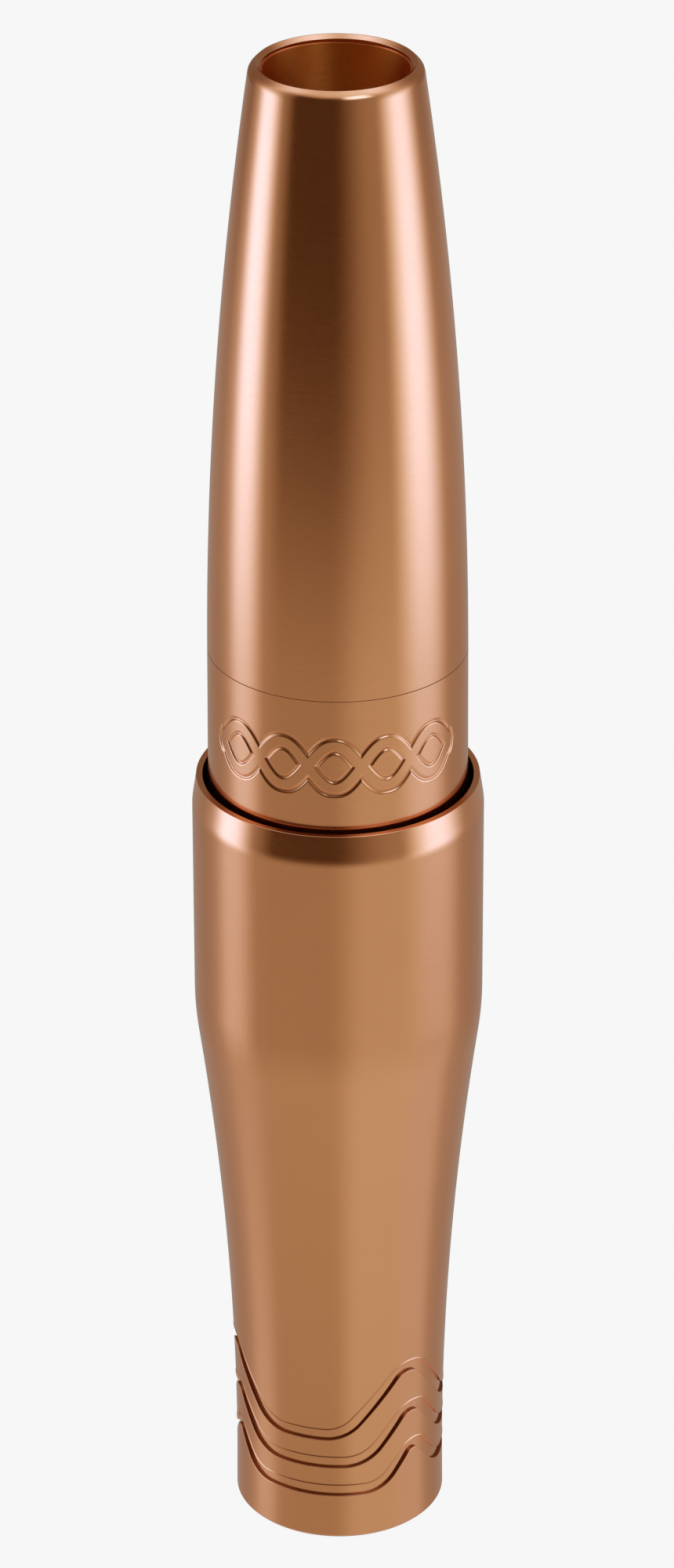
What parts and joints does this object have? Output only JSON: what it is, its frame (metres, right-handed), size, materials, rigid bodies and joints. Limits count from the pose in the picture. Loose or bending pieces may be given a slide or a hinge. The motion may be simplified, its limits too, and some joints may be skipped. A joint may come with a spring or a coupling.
{
  "type": "rotary cosmetic tattoo pen",
  "caption": "Slender anodised rotary cosmetic pen standing on its waisted grip, with a recessed phono socket, cam-driven needle bar and twist needle-depth adjustment.",
  "frame": {"origin": "centre of the pen's front face, on the surface that it stands on", "axes": "+Z along the pen's axis towards the rear socket, -Y towards the decorated side of the band"},
  "size_m": [0.022, 0.022, 0.1202],
  "materials": {
    "anodised_alloy": "satin anodised, rose-gold tone",
    "steel": "ground steel",
    "nickel": "bright nickel plate",
    "brass": "turned brass, gold-toned",
    "bronze": "sintered bronze",
    "copper_wire": "enamelled winding wire",
    "magnet": "nickel-plated magnet, matt grey",
    "black_plastic": "moulded, fine texture",
    "white_plastic": "natural moulded polymer",
    "seal_rubber": "moulded nitrile",
    "red_sleeve": "extruded wire sleeve",
    "black_sleeve": "extruded wire sleeve"
  },
  "bodies": {
    "handle": {"front_body": "anodised_alloy", "rear_housing": "anodised_alloy", "grip_seal": "seal_rubber", "snap_ring": "steel", "holder_key_pin": "steel", "slider_key_pin": "steel", "guide_bush": "bronze", "motor_plate": "steel", "motor_screws": "steel", "motor_can": "nickel", "motor_magnet": "magnet", "motor_front_bearing": "bronze", "motor_rear_bearing": "bronze", "motor_end_cap": "black_plastic", "motor_brushes": "brass", "motor_terminals": "brass", "jack_carrier": "black_plastic", "jack_shell": "brass", "jack_insulator": "black_plastic", "jack_contact": "brass", "jack_ground_tag": "brass", "jack_nut": "nickel", "lead_live": "red_sleeve", "lead_ground": "black_sleeve"},
    "grip": {"grip": "anodised_alloy", "depth_nut": "brass"},
    "holder": {"cartridge_holder": "steel", "holder_seal": "seal_rubber"},
    "rotor": {"rotor_shaft": "steel", "rotor_coil": "copper_wire", "rotor_hub": "white_plastic", "commutator": "copper_wire", "drive_cam": "steel", "cam_set_screw": "steel"},
    "slider": {"cam_slider": "black_plastic", "follower_pin": "steel", "drive_bar": "steel"}
  },
  "joints": [
    {"name": "grip_turn", "type": "hinge", "parent": "handle", "child": "grip", "pos_m": [0, 0, 0.045], "axis": [0, 0, 1], "range_deg": [0, 300]},
    {"name": "holder_slide", "type": "slide", "parent": "handle", "child": "holder", "axis": [0, 0, 1], "range_m": [0, 0.004]},
    {"name": "motor_spin", "type": "hinge", "parent": "handle", "child": "rotor", "pos_m": [0, 0, 0.0615], "axis": [0, 0, 1], "range_deg": [-90, 90]},
    {"name": "needle_stroke", "type": "slide", "parent": "handle", "child": "slider", "axis": [0, 0, 1], "range_m": [-0.00125, 0.00125]}
  ],
  "couplings": [
    {"joint": "holder_slide", "follows": "grip_turn", "m_per_rad": 0.00076394},
    {"joint": "needle_stroke", "follows": "motor_spin", "m_per_rad": 0.00079577}
  ]
}
